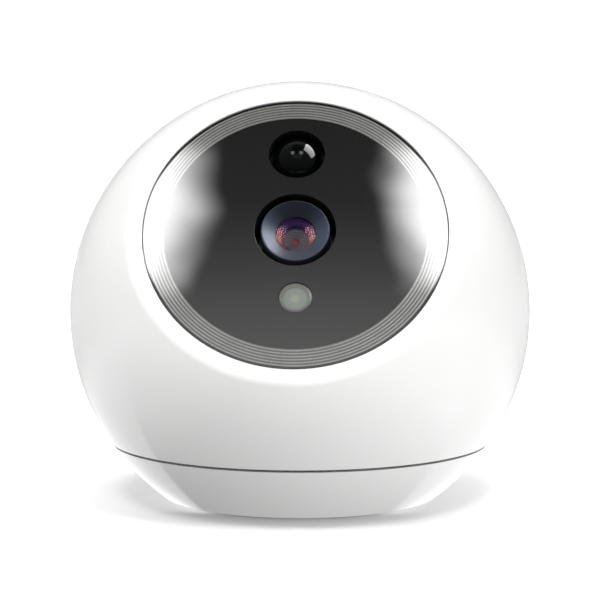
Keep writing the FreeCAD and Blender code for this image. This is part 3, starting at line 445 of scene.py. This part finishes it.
def windowPiece():
    w = windowLook
    r = np.concatenate([
        np.linspace(w["lensHole"] + w["chamfer"], w["bandInner"], 46),
        np.linspace(w["bandInner"], w["bandOuter"], 8)[1:]])
    top = np.stack([r, windowHeight(r)], -1)
    inside = w["radius"] - 0.5
    rim = roundCorners(
        [(inside, float(windowHeight(inside))), (w["radius"], w["edge"]), (w["radius"], w["back"])], [0, 0.1, 0])
    hole = [(w["lensHole"], w["back"]), (w["lensHole"], float(windowHeight(w["lensHole"])) - w["chamfer"])]
    profile = np.vstack([top, rim, hole])
    piece = spinOnFace("smokedWindow", profile, (0, 0), "globe", smokedGloss, 240)
    piece.data.materials.append(bandGloss)
    mesh = piece.data
    centres = np.zeros(len(mesh.polygons) * 3)
    mesh.polygons.foreach_get("center", centres)
    local = (centres.reshape(-1, 3) - ballCentre) / mm
    radial = np.hypot(local @ faceAcross, local @ faceUp)
    deep = local @ faceOut
    inBand = (radial > w["bandInner"]) & (radial < w["bandOuter"]) & (deep > w["back"] + 0.5)
    mesh.polygons.foreach_set("material_index", inBand.astype(np.int32))
    cutHoles(piece, [(w["motionHole"], w["motionAt"]), (w["lightHole"], w["lightAt"])], w["cutFrom"], w["cutTo"])
    mesh = piece.data
    mesh.materials.append(holeWall)
    normals, centres, kinds = (np.zeros(len(mesh.polygons) * k) for k in (3, 3, 1))
    mesh.polygons.foreach_get("normal", normals)
    mesh.polygons.foreach_get("center", centres)
    kinds = kinds.astype(np.int32)
    mesh.polygons.foreach_get("material_index", kinds)
    local = (centres.reshape(-1, 3) - ballCentre) / mm
    radial = np.hypot(local @ faceAcross, local @ faceUp)
    wall = (np.abs(normals.reshape(-1, 3) @ faceOut) < 0.97) & (radial < w["bandInner"])
    mesh.polygons.foreach_set("material_index", np.where(wall, 2, kinds).astype(np.int32))
    mesh.shade_smooth()
    mesh.set_sharp_from_angle(angle=math.radians(35))
    return piece


smokedWindow = windowPiece()
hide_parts("window")


def lineFinish():
    # fine silver lines under the same polish as the window
    material, tree, shader = newMaterial("silverLine")
    slow = noiseField(tree, 300, 2.0)
    tintBetween(tree, slow, (0.105, 0.105, 0.098), (0.13, 0.13, 0.122), shader.inputs["Base Color"])
    rangeTo(tree, noiseField(tree, 4000), 0.25, 0.35, shader.inputs["Roughness"])
    shader.inputs["Coat Weight"].default_value = 1.0
    shader.inputs["Coat Roughness"].default_value = 0.03
    return material


silverLine = lineFinish()


def linePieces():
    # six rings in one mesh: each is the window's cap again, a hair proud of it
    w = windowLook
    steps = 240
    b = np.linspace(0, 2 * math.pi, steps, endpoint=False)
    points, faces = [], []
    for k in range(w["lineCount"]):
        mid = w["lineOuter"] - k * w["linePitch"]
        half = w["lineWidth"] / 2
        r = np.array([mid - half, mid - half, mid, mid + half, mid + half])
        proud, deep = w["lineProud"], -w["lineDeep"]
        d = windowHeight(r) + np.array([deep, proud, proud, proud, deep])
        grid = onFace(r[:, None] * np.cos(b), r[:, None] * np.sin(b), d[:, None] + 0 * b)
        faces.append(gridFaces(len(r), steps, closeRows=True) + k * len(r) * steps)
        points.append(grid.reshape(-1, 3))
    points, faces = np.concatenate(points), np.concatenate(faces)
    return makePiece("silverLines", points, faces, "globe", silverLine, 60)


silverLines = linePieces()
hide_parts("window_inlays")
print("window made")

# lens
lensLook = {
    "hoodRadius": 6.9, "hoodRim": 35.0, "hoodBack": 32.6, "glassEdge": 33.4, "glassRadius": 4.05, "rim": 0.3,
    "glassRise": 0.34, "glassThick": 0.3, "throatTop": 32.95, "throatFloor": 30.9, "throatRadius": 2.35,
    "stopRadius": 0.62, "steps": 5, "stepDrop": 0.16, "barrelFoot": 29.6, "beadRadius": 0.75,
    "beadRise": 0.3,
}


def setAttribute(piece, name, values):
    # one number per point of the mesh, for the finish to read
    layer = piece.data.attributes.new(name, "FLOAT", "POINT")
    layer.data.foreach_set("value", np.asarray(values, np.float32))


def faceCoordinates(piece, at):
    # every point of a piece as its radius from an axis of the face, and the share of it that is up
    co = np.zeros(len(piece.data.vertices) * 3)
    piece.data.vertices.foreach_get("co", co)
    local = (co.reshape(-1, 3) - ballCentre) / mm
    across, up = local @ faceAcross - at[0], local @ faceUp - at[1]
    radius = np.hypot(across, up)
    return radius, up / np.maximum(radius, 1e-6)


def attributeRamp(tree, name, stops):
    # colour stops (position, (r, g, b)) along an attribute
    source = addNode(tree, "ShaderNodeAttribute", attribute_name=name)
    ramp = addNode(tree, "ShaderNodeValToRGB")
    ramp.color_ramp.interpolation = "EASE"
    e = ramp.color_ramp.elements
    e[0].position, e[0].color = stops[0][0], (*stops[0][1], 1)
    e[1].position, e[1].color = stops[-1][0], (*stops[-1][1], 1)
    for at, colour in stops[1:-1]:
        e.new(at).color = (*colour, 1)
    tree.links.new(source.outputs["Fac"], ramp.inputs["Fac"])
    return ramp.outputs["Color"]


def multiplied(tree, a, b):
    mix = addNode(tree, "ShaderNodeMix", data_type="RGBA", blend_type="MULTIPLY")
    mix.inputs["Factor"].default_value = 1.0
    tree.links.new(a, mix.inputs[6])
    tree.links.new(b, mix.inputs[7])
    return mix.outputs[2]


def hoodFinish():
    # satin blue-grey, with painted light and shade: dark at the top, a little paler and bluer low down
    material, tree, shader = newMaterial("hoodBlueGrey")
    # painted light and shade: the colour runs from pale low down to dark at the top of the hood
    tone = attributeRamp(tree, "upness", [
        (0.0, (0.046, 0.051, 0.070)), (0.45, (0.050, 0.061, 0.092)), (1.0, (0.012, 0.0135, 0.020))])
    ramp = addNode(tree, "ShaderNodeValToRGB")
    ramp.color_ramp.elements[0].color = (0.85, 0.85, 0.85, 1)
    ramp.color_ramp.elements[1].color = (1, 1, 1, 1)
    tree.links.new(noiseField(tree, 900, 3.0), ramp.inputs["Fac"])
    tree.links.new(multiplied(tree, tone, ramp.outputs["Color"]), shader.inputs["Base Color"])
    rangeTo(tree, noiseField(tree, 5000), 0.30, 0.40, shader.inputs["Roughness"])
    bumpFrom(tree, noiseField(tree, 6000, 2.0), shader, 0.05, 0.00003)
    shader.inputs["Specular IOR Level"].default_value = 0.05
    return material


hoodBlueGrey = hoodFinish()
g = lensLook
hoodProfile = roundCorners(
    [(g["hoodRadius"], g["hoodBack"]), (g["hoodRadius"], g["hoodRim"]), (g["hoodRadius"] - g["rim"], g["hoodRim"]),
     (g["glassRadius"], g["glassEdge"]), (g["glassRadius"], g["glassEdge"] - 0.1),
     (4.7, g["glassEdge"] - 0.1), (4.7, g["hoodBack"])],
    [0, 0.12, 0.12, 0.05, 0, 0, 0])
lensHood = spinOnFace("lensHood", hoodProfile, (0, 0), "globe", hoodBlueGrey, 128, sharp=50)
setAttribute(lensHood, "upness", faceCoordinates(lensHood, (0, 0))[1] * 0.5 + 0.5)
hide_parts("lens_hood")


def glassFinish():
    # thin coated glass: clear, with a weak rose-coloured reflection
    material, tree, shader = newMaterial("coatedGlass")
    shader.inputs["Transmission Weight"].default_value = 1.0
    shader.inputs["IOR"].default_value = 1.15
    shader.inputs["Specular Tint"].default_value = (1.0, 0.5, 0.45, 1)
    slow = noiseField(tree, 200, 2.0)
    tintBetween(tree, slow, (0.93, 0.90, 0.95), (0.97, 0.95, 0.98), shader.inputs["Base Color"])
    rangeTo(tree, noiseField(tree, 3000, 2.0), 0.015, 0.04, shader.inputs["Roughness"])
    return material


def throatFinish():
    # the inside of the barrel seen through the coating, with painted reflections: violet at the top and rose at the
    # sides on a pale ring of the funnel, then black steps with a painted highlight on the edge of each
    material, tree, shader = newMaterial("throatPaintedReflections")
    # painted reflection: the coating's violet and rose, set by how far up the throat a point is
    paintedCoatReflection = attributeRamp(tree, "upness", [
        (0.0, (0.07, 0.045, 0.06)), (0.18, (0.16, 0.075, 0.08)), (0.42, (0.40, 0.17, 0.15)),
        (0.62, (0.30, 0.10, 0.12)), (0.80, (0.085, 0.035, 0.14)), (1.0, (0.035, 0.02, 0.085))])
    g = lensLook
    # where the painted reflection shows: a pale ring partway out, dark in the middle
    across = attributeRamp(tree, "fromMiddle", [
        (0.0, (0.02, 0.02, 0.02)), (0.59, (0.04, 0.04, 0.05)), (0.64, (0.32, 0.32, 0.34)), (0.80, (1, 1, 1)),
        (0.93, (0.6, 0.6, 0.65)), (1.0, (0.12, 0.12, 0.15))])
    # painted highlights: a thin bright ring at the edge of each black step
    stops = [(0.0, (0.006, 0.006, 0.007))]
    for k in range(g["steps"], -1, -1):
        edge = (g["throatRadius"] - k * (g["throatRadius"] - g["stopRadius"]) / g["steps"]) / 4
        stops += [(edge - 0.024, (0.014, 0.017, 0.021)), (edge, (0.12, 0.135, 0.15)),
                  (edge + 0.024, (0.018, 0.021, 0.026))]
    stops += [(0.66, (0, 0, 0)), (1.0, (0, 0, 0))]
    rings = attributeRamp(tree, "fromMiddle", stops)
    both = addNode(tree, "ShaderNodeMix", data_type="RGBA", blend_type="ADD")
    both.inputs["Factor"].default_value = 1.0
    tree.links.new(multiplied(tree, paintedCoatReflection, across), both.inputs[6])
    tree.links.new(rings, both.inputs[7])
    tree.links.new(both.outputs[2], shader.inputs["Base Color"])
    rangeTo(tree, noiseField(tree, 4000, 2.0), 0.22, 0.34, shader.inputs["Roughness"])
    shader.inputs["Specular IOR Level"].default_value = 0.05
    return material


def lensPieces():
    g = lensLook
    low = g["glassEdge"] - 0.12
    r = np.linspace(0, g["glassRadius"] - 0.03, 26)

    def cap(edgeRadius, edge, rise):
        # a shallow ball cap: edge + rise at the middle, edge at edgeRadius
        curve = (edgeRadius ** 2 + rise ** 2) / (2 * rise)
        return lambda q: edge + rise - (curve - np.sqrt(curve ** 2 - q ** 2))

    outer = cap(r[-1], low, g["glassRise"])
    inner = cap(r[-1], low - g["glassThick"], g["glassRise"] * 0.8)
    profile = np.vstack([np.stack([r, outer(r)], -1), np.stack([r[::-1], inner(r[::-1])], -1)])
    glass = spinOnFace(
        "frontGlass", profile, (0, 0), "globe", glassFinish(), 128, closed=False, sharp=40)
    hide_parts("front_glass")

    # the funnel, its stepped stop and the closed outside of the barrel, as one outline
    steps = [(3.98, g["throatTop"]), (g["throatRadius"] + 0.12, g["throatFloor"] + 0.12),
             (g["throatRadius"], g["throatFloor"])]
    for k in range(g["steps"]):
        radius = g["throatRadius"] - (k + 1) * (g["throatRadius"] - g["stopRadius"]) / g["steps"]
        level = g["throatFloor"] - g["stepDrop"] * k
        steps += [(radius + 0.05, level), (radius, level - 0.02), (radius, level - g["stepDrop"])]
    floor = steps[-1][1]
    outside = [(0.0, g["barrelFoot"]), (3.2, g["barrelFoot"]), (3.2, 31.1), (3.98, 32.4)]
    profile = outside + steps + [(0.0, floor)]
    throat = spinOnFace(
        "lensThroat", profile, (0, 0), "globe", throatFinish(), 128, closed=False, sharp=30)
    radius, upness = faceCoordinates(throat, (0, 0))
    setAttribute(throat, "upness", upness * 0.5 + 0.5)
    setAttribute(throat, "fromMiddle", radius / 4.0)

    # the small second glass, a domed bead that shows red from its own coating
    b = g["beadRadius"]
    level = floor - 0.02
    q = np.linspace(0, b, 12)
    dome = cap(b, level, g["beadRise"])
    profile = np.vstack([np.stack([q, dome(q)], -1), [(b, level - 0.2), (0.0, level - 0.2)]])
    material, tree, shader = newMaterial("redCoating")
    cloud = noiseField(tree, 1500, 2.0)
    tintBetween(tree, cloud, (0.10, 0.012, 0.008), (0.22, 0.03, 0.012), shader.inputs["Base Color"])
    rangeTo(tree, noiseField(tree, 4000, 2.0), 0.04, 0.08, shader.inputs["Roughness"])
    shader.inputs["Specular Tint"].default_value = (1.0, 0.42, 0.25, 1)
    spinOnFace("innerGlass", profile, (0, 0), "globe", material, 64, closed=False, sharp=40)


lensPieces()
print("lens made")

# motion sensor, light port and the black carrier round them
portLook = {"at": (0.3, -15.3), "radius": 3.3, "back": 33.0, "lampBelow": 0.35}


def portPiece():
    # a shallow milky cap with a soft corner; the lamp shows as a paler disc in its middle
    k = portLook
    top = float(windowHeight(abs(k["at"][1])))
    r = np.linspace(0, k["radius"] - 0.25, 20)
    cap = np.stack([r, top + 0.05 - 0.07 * (r / r[-1]) ** 2], -1)
    rim = roundCorners([cap[-1], (k["radius"], top - 0.12), (k["radius"], k["back"])], [0, 0.08, 0])
    profile = np.vstack([cap[:-1], rim, [(0.0, k["back"])]])
    material, tree, shader = newMaterial("milkyPort")
    colour = attributeRamp(tree, "fromMiddle", [
        (0.0, (0.215, 0.235, 0.165)), (0.18, (0.205, 0.225, 0.165)),
        (0.34, (0.155, 0.18, 0.155)), (0.70, (0.145, 0.166, 0.143)),
        (0.76, (0.10, 0.104, 0.096)), (1.0, (0.095, 0.095, 0.089))])
    ramp = addNode(tree, "ShaderNodeValToRGB")
    ramp.color_ramp.elements[0].color = (0.92, 0.92, 0.92, 1)
    tree.links.new(noiseField(tree, 700, 2.0), ramp.inputs["Fac"])
    tree.links.new(multiplied(tree, colour, ramp.outputs["Color"]), shader.inputs["Base Color"])
    rangeTo(tree, noiseField(tree, 3000, 2.0), 0.25, 0.35, shader.inputs["Roughness"])
    shader.inputs["Specular IOR Level"].default_value = 0.18
    port = spinOnFace("milkyPort", profile, k["at"], "globe", material, 96, closed=False, sharp=40)
    lampAt = (k["at"][0], k["at"][1] - k["lampBelow"])
    setAttribute(port, "fromMiddle", faceCoordinates(port, lampAt)[0] / k["radius"])
    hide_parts("status_light_lens")


portPiece()
domeBlack = darkFinish("domeBlack", (0.0012, 0.0016, 0.0016), (0.05, 0.08), 0.055)
carrierBlack = darkFinish("carrierBlack", (0.004, 0.004, 0.0045), (0.4, 0.5), 0.04)
nodes["motion_sensor_lens"].data.materials[0] = domeBlack
nodes["face_carrier"].data.materials[0] = carrierBlack
print("sensor and port made")

# camera, lights and floor
studio = {
    "distance": 0.6, "elevation": 6.85, "azimuth": 1.9, "lens": 170.16, "aimUp": 0.222,
    "floorTone": 0.8, "floorGlow": 0.6, "floorReach": 40.0, "tableReach": 2.5,
    "overhead": {"height": 1.1, "left": -0.45, "right": 0.37, "near": -1.25, "far": -0.25,
                 "power": 25.0, "middle": -0.041, "gap": 0.150, "feather": 0.075, "spread": 0.34,
                 "dim": 2.6, "dimLevels": [(0.0, 0.92), (0.243, 0.82), (0.343, 0.70), (0.43, 0.57), (0.5, 0.44),
                                           (0.57, 0.34), (0.66, 0.22), (0.74, 0.14), (1.0, 0.08)]},
    "table": {"under": 0.0004, "edge": -0.02, "behind": 1.3, "back": 0.75, "far": 0.2,
              "across": [(-0.15, 1.15), (-0.07, 0.9), (-0.035, 0.5), (0.0, 0.85), (0.03, 1.1),
                         (0.07, 1.75), (0.15, 1.5)]},
    "room": {"horizon": 0.7, "wall": 1.0, "high": 1.25, "zenith": 0.2, "backdrop": 1.1},
    "card": {"at": 0.75, "front": -0.38, "back": 1.2, "low": 0.58, "top": 2.2, "power": 50.0},
}


def aimedCamera():
    s = studio
    el, az = math.radians(s["elevation"]), math.radians(s["azimuth"])
    back = np.array([math.sin(az) * math.cos(el), -math.cos(az) * math.cos(el), math.sin(el)])
    data = bpy.data.cameras.new("camera")
    data.lens = s["lens"]
    data.sensor_width = 36
    data.clip_start, data.clip_end = 0.01, 100
    camera = bpy.data.objects.new("camera", data)
    bpy.context.scene.collection.objects.link(camera)
    camera.location = ballCentre + back * s["distance"]
    camera.rotation_euler = (math.radians(90 - s["elevation"] + s["aimUp"]), 0, az)
    bpy.context.scene.camera = camera


aimedCamera()


def stageMesh(name, corners):
    mesh = bpy.data.meshes.new(name)
    mesh.from_pydata(corners, [], [(0, 1, 2, 3)])
    thing = bpy.data.objects.new(name, mesh)
    bpy.context.scene.collection.objects.link(thing)
    return thing


def mathNode(tree, operation, *values):
    node = addNode(tree, "ShaderNodeMath", operation=operation)
    for socket, value in zip(node.inputs, values):
        if isinstance(value, (int, float)):
            socket.default_value = value
        else:
            tree.links.new(value, socket)
    return node.outputs[0]


def smoothRange(tree, value, low, high, toLow=0.0, toHigh=1.0):
    # an eased toLow to toHigh between low and high
    node = addNode(tree, "ShaderNodeMapRange", interpolation_type="SMOOTHSTEP")
    for name, v in (("From Min", low), ("From Max", high), ("To Min", toLow), ("To Max", toHigh)):
        node.inputs[name].default_value = v
    tree.links.new(value, node.inputs["Value"])
    return node.outputs["Result"]


def evenRange(tree, value, low, high):
    # a straight 0 to 1 between low and high
    node = addNode(tree, "ShaderNodeMapRange")
    node.inputs["From Min"].default_value = low
    node.inputs["From Max"].default_value = high
    tree.links.new(value, node.inputs["Value"])
    return node.outputs["Result"]


def xyOf(tree):
    # x and y on the object's own coordinates
    split = tree.nodes.new("ShaderNodeSeparateXYZ")
    tree.links.new(tree.nodes.new("ShaderNodeTexCoord").outputs["Object"], split.inputs["Vector"])
    return split.outputs["X"], split.outputs["Y"]


def fromCentre(tree):
    # x, y and the distance from the upright axis, sqrt(x^2 + y^2)
    x, y = xyOf(tree)
    squares = mathNode(tree, "ADD", mathNode(tree, "MULTIPLY", x, x), mathNode(tree, "MULTIPLY", y, y))
    return x, y, mathNode(tree, "SQRT", squares)


def greyRamp(tree, value, stops):
    # grey stops (position, level) along a value from 0 to 1
    ramp = tree.nodes.new("ShaderNodeValToRGB")
    tree.links.new(value, ramp.inputs["Fac"])
    e = ramp.color_ramp.elements
    e[0].position, e[0].color = stops[0][0], (stops[0][1],) * 3 + (1,)
    e[1].position, e[1].color = stops[-1][0], (stops[-1][1],) * 3 + (1,)
    for at, level in stops[1:-1]:
        e.new(at).color = (level,) * 3 + (1,)
    return ramp.outputs["Color"]


def floorPiece():
    # a plain pale table top, lit from below by its own glow, which is left out near the object: a painted shadow
    # round the base
    k = studio["floorReach"]
    floor = stageMesh("floor", [(-k, -k, 0), (k, -k, 0), (k, k, 0), (-k, k, 0)])
    material, tree, shader = newMaterial("paleFloor")
    tone = studio["floorTone"]
    tintBetween(tree, noiseField(tree, 3, 2.0), (tone * 0.99,) * 3, (tone,) * 3, shader.inputs["Base Color"])
    shader.inputs["Roughness"].default_value = 0.9
    shader.inputs["Specular IOR Level"].default_value = 0.1
    shader.inputs["Emission Color"].default_value = (1, 1, 1, 1)
    # painted shadow: no glow close to the object, full glow further out
    r = fromCentre(tree)[2]
    tree.links.new(smoothRange(tree, r, 0.033, 0.075, 0.0, studio["floorGlow"]), shader.inputs["Emission Strength"])
    floor.data.materials.append(material)
    floor.visible_diffuse = floor.visible_glossy = floor.visible_transmission = floor.visible_shadow = False


floorPiece()


def glowMaterial(name):
    material = bpy.data.materials.new(name)
    material.use_nodes = True
    tree = material.node_tree
    tree.nodes.clear()
    out = tree.nodes.new("ShaderNodeOutputMaterial")
    glow = tree.nodes.new("ShaderNodeEmission")
    tree.links.new(glow.outputs["Emission"], out.inputs["Surface"])
    return material, tree, glow


def overheadLight():
    # one scrim overhead: two bright, feathered patches either side of a dim middle, which grows
    # brighter towards the front
    s = studio["overhead"]
    h = s["height"]
    corners = [(s["left"], s["near"]), (s["left"], s["far"]), (s["right"], s["far"]), (s["right"], s["near"])]
    panel = stageMesh("overheadScrim", [(x, y, h) for x, y in corners])
    material, tree, glow = glowMaterial("overheadScrim")
    # wavy edges; the patches lean apart towards the front by the amount spread
    wobble = mathNode(tree, "SUBTRACT", noiseField(tree, 8, 1), 0.5)
    wobble = mathNode(tree, "MULTIPLY", wobble, 0.07)
    x, y = xyOf(tree)
    lean = mathNode(tree, "MAXIMUM", mathNode(tree, "SUBTRACT", -0.5, y), 0.0)
    lean = mathNode(tree, "MULTIPLY", lean, s["spread"])
    aside = mathNode(tree, "ABSOLUTE", mathNode(tree, "SUBTRACT", x, s["middle"]))
    past = mathNode(tree, "ADD", mathNode(tree, "SUBTRACT", aside, s["gap"]), wobble)
    past = mathNode(tree, "SUBTRACT", past, lean)
    along = mathNode(tree, "ADD", y, wobble)
    patch = mathNode(tree, "MULTIPLY", smoothRange(tree, past, -s["feather"] * 0.5, s["feather"]),
                     smoothRange(tree, along, -0.70, -0.62))
    back = mathNode(tree, "MULTIPLY", smoothRange(tree, along, -0.33, -0.39), s["power"])
    patch = mathNode(tree, "MULTIPLY", patch, back)
    middle = greyRamp(tree, evenRange(tree, y, -1.0, -0.3), s["dimLevels"])
    middle = mathNode(tree, "MULTIPLY", middle, s["dim"])
    tree.links.new(mathNode(tree, "ADD", patch, middle), glow.inputs["Strength"])
    panel.data.materials.append(material)
    panel.visible_camera = False


overheadLight()


def between(tree, share, first, second):
    # first where share is 0, second where it is 1
    rest = mathNode(tree, "SUBTRACT", 1.0, share)
    return mathNode(tree, "ADD", mathNode(tree, "MULTIPLY", first, rest), mathNode(tree, "MULTIPLY", share, second))


def tableGlow():
    # the light that the table throws back: bright behind its front edge, dim before it, and
    # bright again further out to either side
    s = studio["table"]
    k, z = studio["tableReach"], -s["under"]
    table = stageMesh("tableGlow", [(-k, -k, z), (k, -k, z), (k, k, z), (-k, k, z)])
    material, tree, glow = glowMaterial("tableGlow")
    x, y, r = fromCentre(tree)
    reach = s["across"][-1][0]
    stops = [(0.5 + at / reach / 2, level / 2) for at, level in s["across"]]   # halved, as a ramp ends at 1
    side = greyRamp(tree, evenRange(tree, x, -reach, reach), stops)
    # painted shadow: the table's light is dimmer close to the object
    side = mathNode(tree, "MULTIPLY", side, smoothRange(tree, r, 0.028, 0.075, 1.4, 2.0))
    front = between(tree, smoothRange(tree, y, -0.35, -0.45), side, s["far"])
    behind = smoothRange(tree, y, s["edge"] - 0.0008, s["edge"] + 0.0008)
    back = smoothRange(tree, y, 0.03, 0.12, s["behind"], s["back"])
    tree.links.new(between(tree, behind, front, back), glow.inputs["Strength"])
    table.data.materials.append(material)
    table.visible_camera = False


def cardLight():
    # a tall bright card to the right that only shows in gloss
    s = studio["card"]
    x = s["at"]
    corners = [(s["front"], s["low"]), (s["back"], s["low"]), (s["back"], s["top"]), (s["front"], s["top"])]
    card = stageMesh("brightCard", [(x, y, z) for y, z in corners])
    material, tree, glow = glowMaterial("brightCard")
    y = xyOf(tree)[1]
    across = mathNode(tree, "MULTIPLY", smoothRange(tree, y, s["front"], s["front"] + 0.1),
                      smoothRange(tree, y, s["back"], s["back"] - 0.1))
    tree.links.new(mathNode(tree, "MULTIPLY", across, s["power"]), glow.inputs["Strength"])
    card.data.materials.append(material)
    card.visible_camera = card.visible_diffuse = card.visible_transmission = False


def roomLight():
    # dark near the horizon, so that edges show, then even walls and a brighter ring overhead; the
    # camera itself sees plain white behind the table
    s = studio["room"]
    world = bpy.data.worlds.new("studioRoom")
    bpy.context.scene.world = world
    world.use_nodes = True
    tree = world.node_tree
    tree.nodes.clear()
    out = tree.nodes.new("ShaderNodeOutputWorld")
    room = tree.nodes.new("ShaderNodeBackground")
    plain = tree.nodes.new("ShaderNodeBackground")
    plain.inputs["Strength"].default_value = s["backdrop"]
    split = tree.nodes.new("ShaderNodeSeparateXYZ")
    tree.links.new(tree.nodes.new("ShaderNodeTexCoord").outputs["Generated"], split.inputs["Vector"])
    z = split.outputs["Z"]
    level = smoothRange(tree, z, 0.12, 0.36, s["horizon"], s["wall"])
    level = mathNode(tree, "ADD", level, smoothRange(tree, z, 0.68, 0.80, 0.0, s["high"] - s["wall"]))
    level = mathNode(tree, "ADD", level, smoothRange(tree, z, 0.93, 0.97, 0.0, s["zenith"] - s["high"]))
    tree.links.new(level, room.inputs["Strength"])
    mix = tree.nodes.new("ShaderNodeMixShader")
    tree.links.new(tree.nodes.new("ShaderNodeLightPath").outputs["Is Camera Ray"], mix.inputs["Fac"])
    tree.links.new(room.outputs["Background"], mix.inputs[1])
    tree.links.new(plain.outputs["Background"], mix.inputs[2])
    tree.links.new(mix.outputs["Shader"], out.inputs["Surface"])


tableGlow()
cardLight()
roomLight()
bpy.context.scene.view_settings.view_transform = "Standard"
print("studio set")
